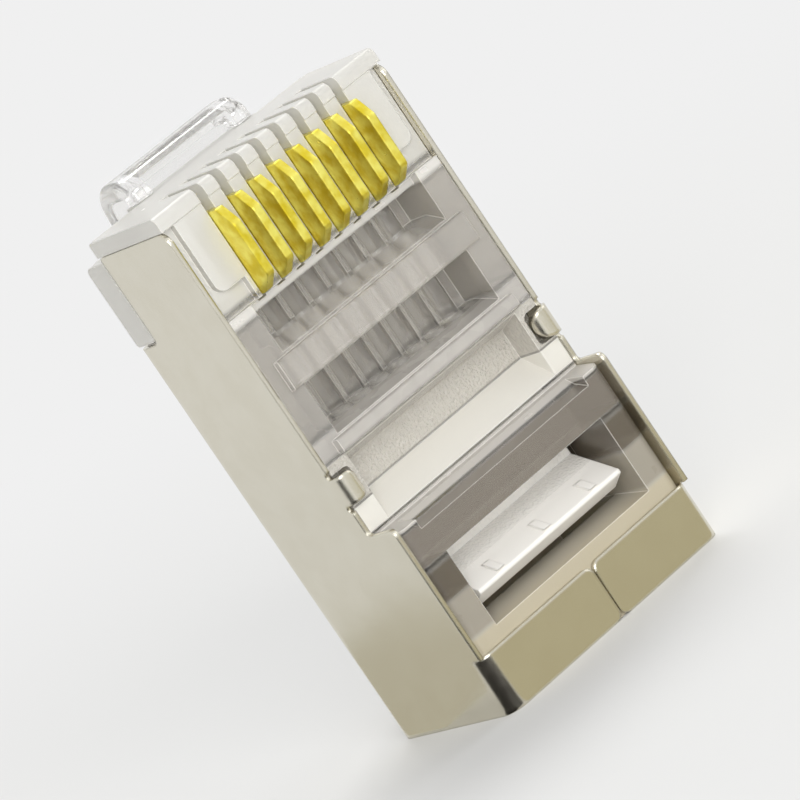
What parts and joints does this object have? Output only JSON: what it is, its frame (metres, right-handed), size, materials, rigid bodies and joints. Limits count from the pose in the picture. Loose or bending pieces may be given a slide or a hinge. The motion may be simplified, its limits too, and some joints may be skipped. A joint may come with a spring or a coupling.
{
  "type": "rj45 modular plug",
  "caption": "Shielded modular plug with a clear housing, blade contacts, a sprung latch and a folded sheet-metal shield, standing on its cable end.",
  "frame": {"origin": "centre of the rectangular cable end, in the plane of its rear face", "axes": "+Z from the cable end to the nose, -Y towards the contact side, +Y towards the latch, X along the row of contacts"},
  "size_m": [0.0116, 0.0117, 0.0228],
  "materials": {
    "clear_housing": "clear polished polycarbonate",
    "nickel_sheet": "bright nickel-plated brass sheet",
    "gold_contact": "gold-plated bronze"
  },
  "bodies": {
    "plug": {"housing": "clear_housing", "shield": "nickel_sheet"},
    "jacket_anchor": {"jacket_anchor": "clear_housing"},
    "latch": {"latch": "clear_housing"},
    "contact_1": {"contact_1": "gold_contact"},
    "contact_2": {"contact_2": "gold_contact"},
    "contact_3": {"contact_3": "gold_contact"},
    "contact_4": {"contact_4": "gold_contact"},
    "contact_5": {"contact_5": "gold_contact"},
    "contact_6": {"contact_6": "gold_contact"},
    "contact_7": {"contact_7": "gold_contact"},
    "contact_8": {"contact_8": "gold_contact"}
  },
  "joints": [
    {"name": "latch_flex", "type": "hinge", "parent": "plug", "child": "latch", "pos_m": [0, 0.0041, 0.02185], "axis": [-1, 0, 0], "range_deg": [0, 11], "stiffness_Nm_per_rad": 0.02},
    {"name": "anchor_press", "type": "hinge", "parent": "plug", "child": "jacket_anchor", "pos_m": [0, -0.00115, 0.006], "axis": [1, 0, 0], "range_deg": [0, 15]},
    {"name": "contact_1_press", "type": "slide", "parent": "plug", "child": "contact_1", "axis": [0, 1, 0], "range_m": [0, 0.0011]},
    {"name": "contact_2_press", "type": "slide", "parent": "plug", "child": "contact_2", "axis": [0, 1, 0], "range_m": [0, 0.0011]},
    {"name": "contact_3_press", "type": "slide", "parent": "plug", "child": "contact_3", "axis": [0, 1, 0], "range_m": [0, 0.0011]},
    {"name": "contact_4_press", "type": "slide", "parent": "plug", "child": "contact_4", "axis": [0, 1, 0], "range_m": [0, 0.0011]},
    {"name": "contact_5_press", "type": "slide", "parent": "plug", "child": "contact_5", "axis": [0, 1, 0], "range_m": [0, 0.0011]},
    {"name": "contact_6_press", "type": "slide", "parent": "plug", "child": "contact_6", "axis": [0, 1, 0], "range_m": [0, 0.0011]},
    {"name": "contact_7_press", "type": "slide", "parent": "plug", "child": "contact_7", "axis": [0, 1, 0], "range_m": [0, 0.0011]},
    {"name": "contact_8_press", "type": "slide", "parent": "plug", "child": "contact_8", "axis": [0, 1, 0], "range_m": [0, 0.0011]}
  ]
}
